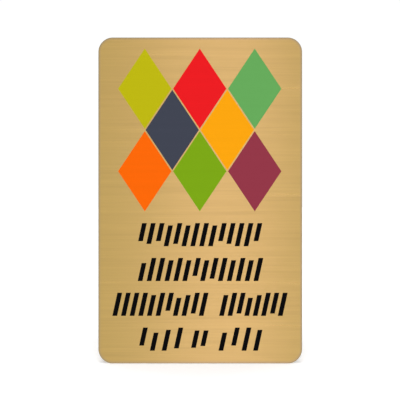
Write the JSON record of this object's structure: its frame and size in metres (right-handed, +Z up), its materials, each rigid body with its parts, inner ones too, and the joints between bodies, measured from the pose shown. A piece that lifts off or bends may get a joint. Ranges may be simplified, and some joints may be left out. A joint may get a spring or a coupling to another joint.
{
  "type": "brass sign",
  "caption": "Flat upright sheet-brass wall sign with rounded corners and softly eased rims, brushed on the face to carry a colour print.",
  "frame": {"origin": "middle of the flat back face, which lies on the wall", "axes": "+X along the width, to the right as the front is looked at; +Y into the wall, out of the back face; +Z up along the height"},
  "size_m": [0.254, 0.0016, 0.4064],
  "materials": {
    "brass": "brushed along the width, satin, with a flat colour print on the front"
  },
  "bodies": {
    "root": {"brass_plate": "brass"}
  },
  "joints": []
}
